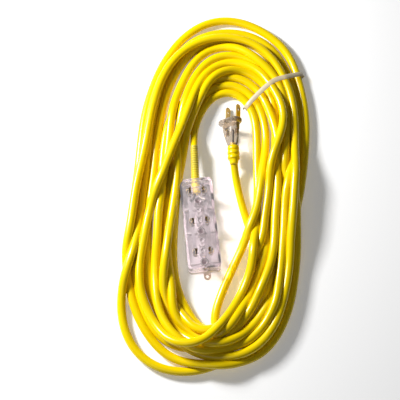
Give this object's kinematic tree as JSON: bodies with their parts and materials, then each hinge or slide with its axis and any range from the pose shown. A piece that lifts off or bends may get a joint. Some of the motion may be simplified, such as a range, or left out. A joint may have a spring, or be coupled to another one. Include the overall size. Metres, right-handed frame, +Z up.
{
  "type": "extension cord",
  "caption": "Coiled two-wire extension cord bundled with a strap tie, with a clear two-blade plug and a clear inline power block, each flexing at its strain relief.",
  "frame": {"origin": "on the floor, under the middle of the bundle's bounding box", "axes": "+Z up from the floor; +Y along the bundle's long direction, towards the end that the plug's blades point to; +X across the bundle, towards the plug"},
  "size_m": [0.189, 0.377, 0.028],
  "materials": {
    "cord_jacket": "glossy flexible vinyl",
    "clear_vinyl": "clear moulded vinyl",
    "clear_block": "clear moulded plastic",
    "natural_nylon": "translucent nylon",
    "brass": "stamped",
    "bridge_plastic": "moulded",
    "black_insulation": "glossy",
    "white_insulation": "glossy"
  },
  "bodies": {
    "coil": {"cord_coil": "cord_jacket", "plug_lead": "cord_jacket", "block_lead": "cord_jacket", "cable_tie_strap": "natural_nylon", "cable_tie_head": "natural_nylon"},
    "plug": {"plug_body": "clear_vinyl", "plug_bridge": "bridge_plastic", "plug_strain_relief": "cord_jacket", "line_blade": "brass", "neutral_blade": "brass", "line_crimp": "brass", "neutral_crimp": "brass", "plug_line_wire": "black_insulation", "plug_neutral_wire": "white_insulation", "plug_jacket_end": "cord_jacket"},
    "power_block": {"block_front_shell": "clear_block", "block_rear_shell": "clear_block", "block_weld_pins": "clear_block", "line_bus": "brass", "neutral_bus": "brass", "contact_clips": "brass", "block_line_wire": "black_insulation", "block_neutral_wire": "white_insulation", "block_jacket_end": "cord_jacket", "block_cord_clamp": "clear_block", "block_strain_relief": "cord_jacket", "block_hang_tab": "clear_vinyl"}
  },
  "joints": [
    {"name": "plug_flex", "type": "hinge", "parent": "coil", "child": "plug", "pos_m": [0.0198, 0.0254, 0.0128], "axis": [1, 0, 0], "range_deg": [0, 40]},
    {"name": "block_flex", "type": "hinge", "parent": "coil", "child": "power_block", "pos_m": [-0.0198, 0.0386, 0.012], "axis": [-0.9945, -0.1045, 0], "range_deg": [0, 40]}
  ]
}
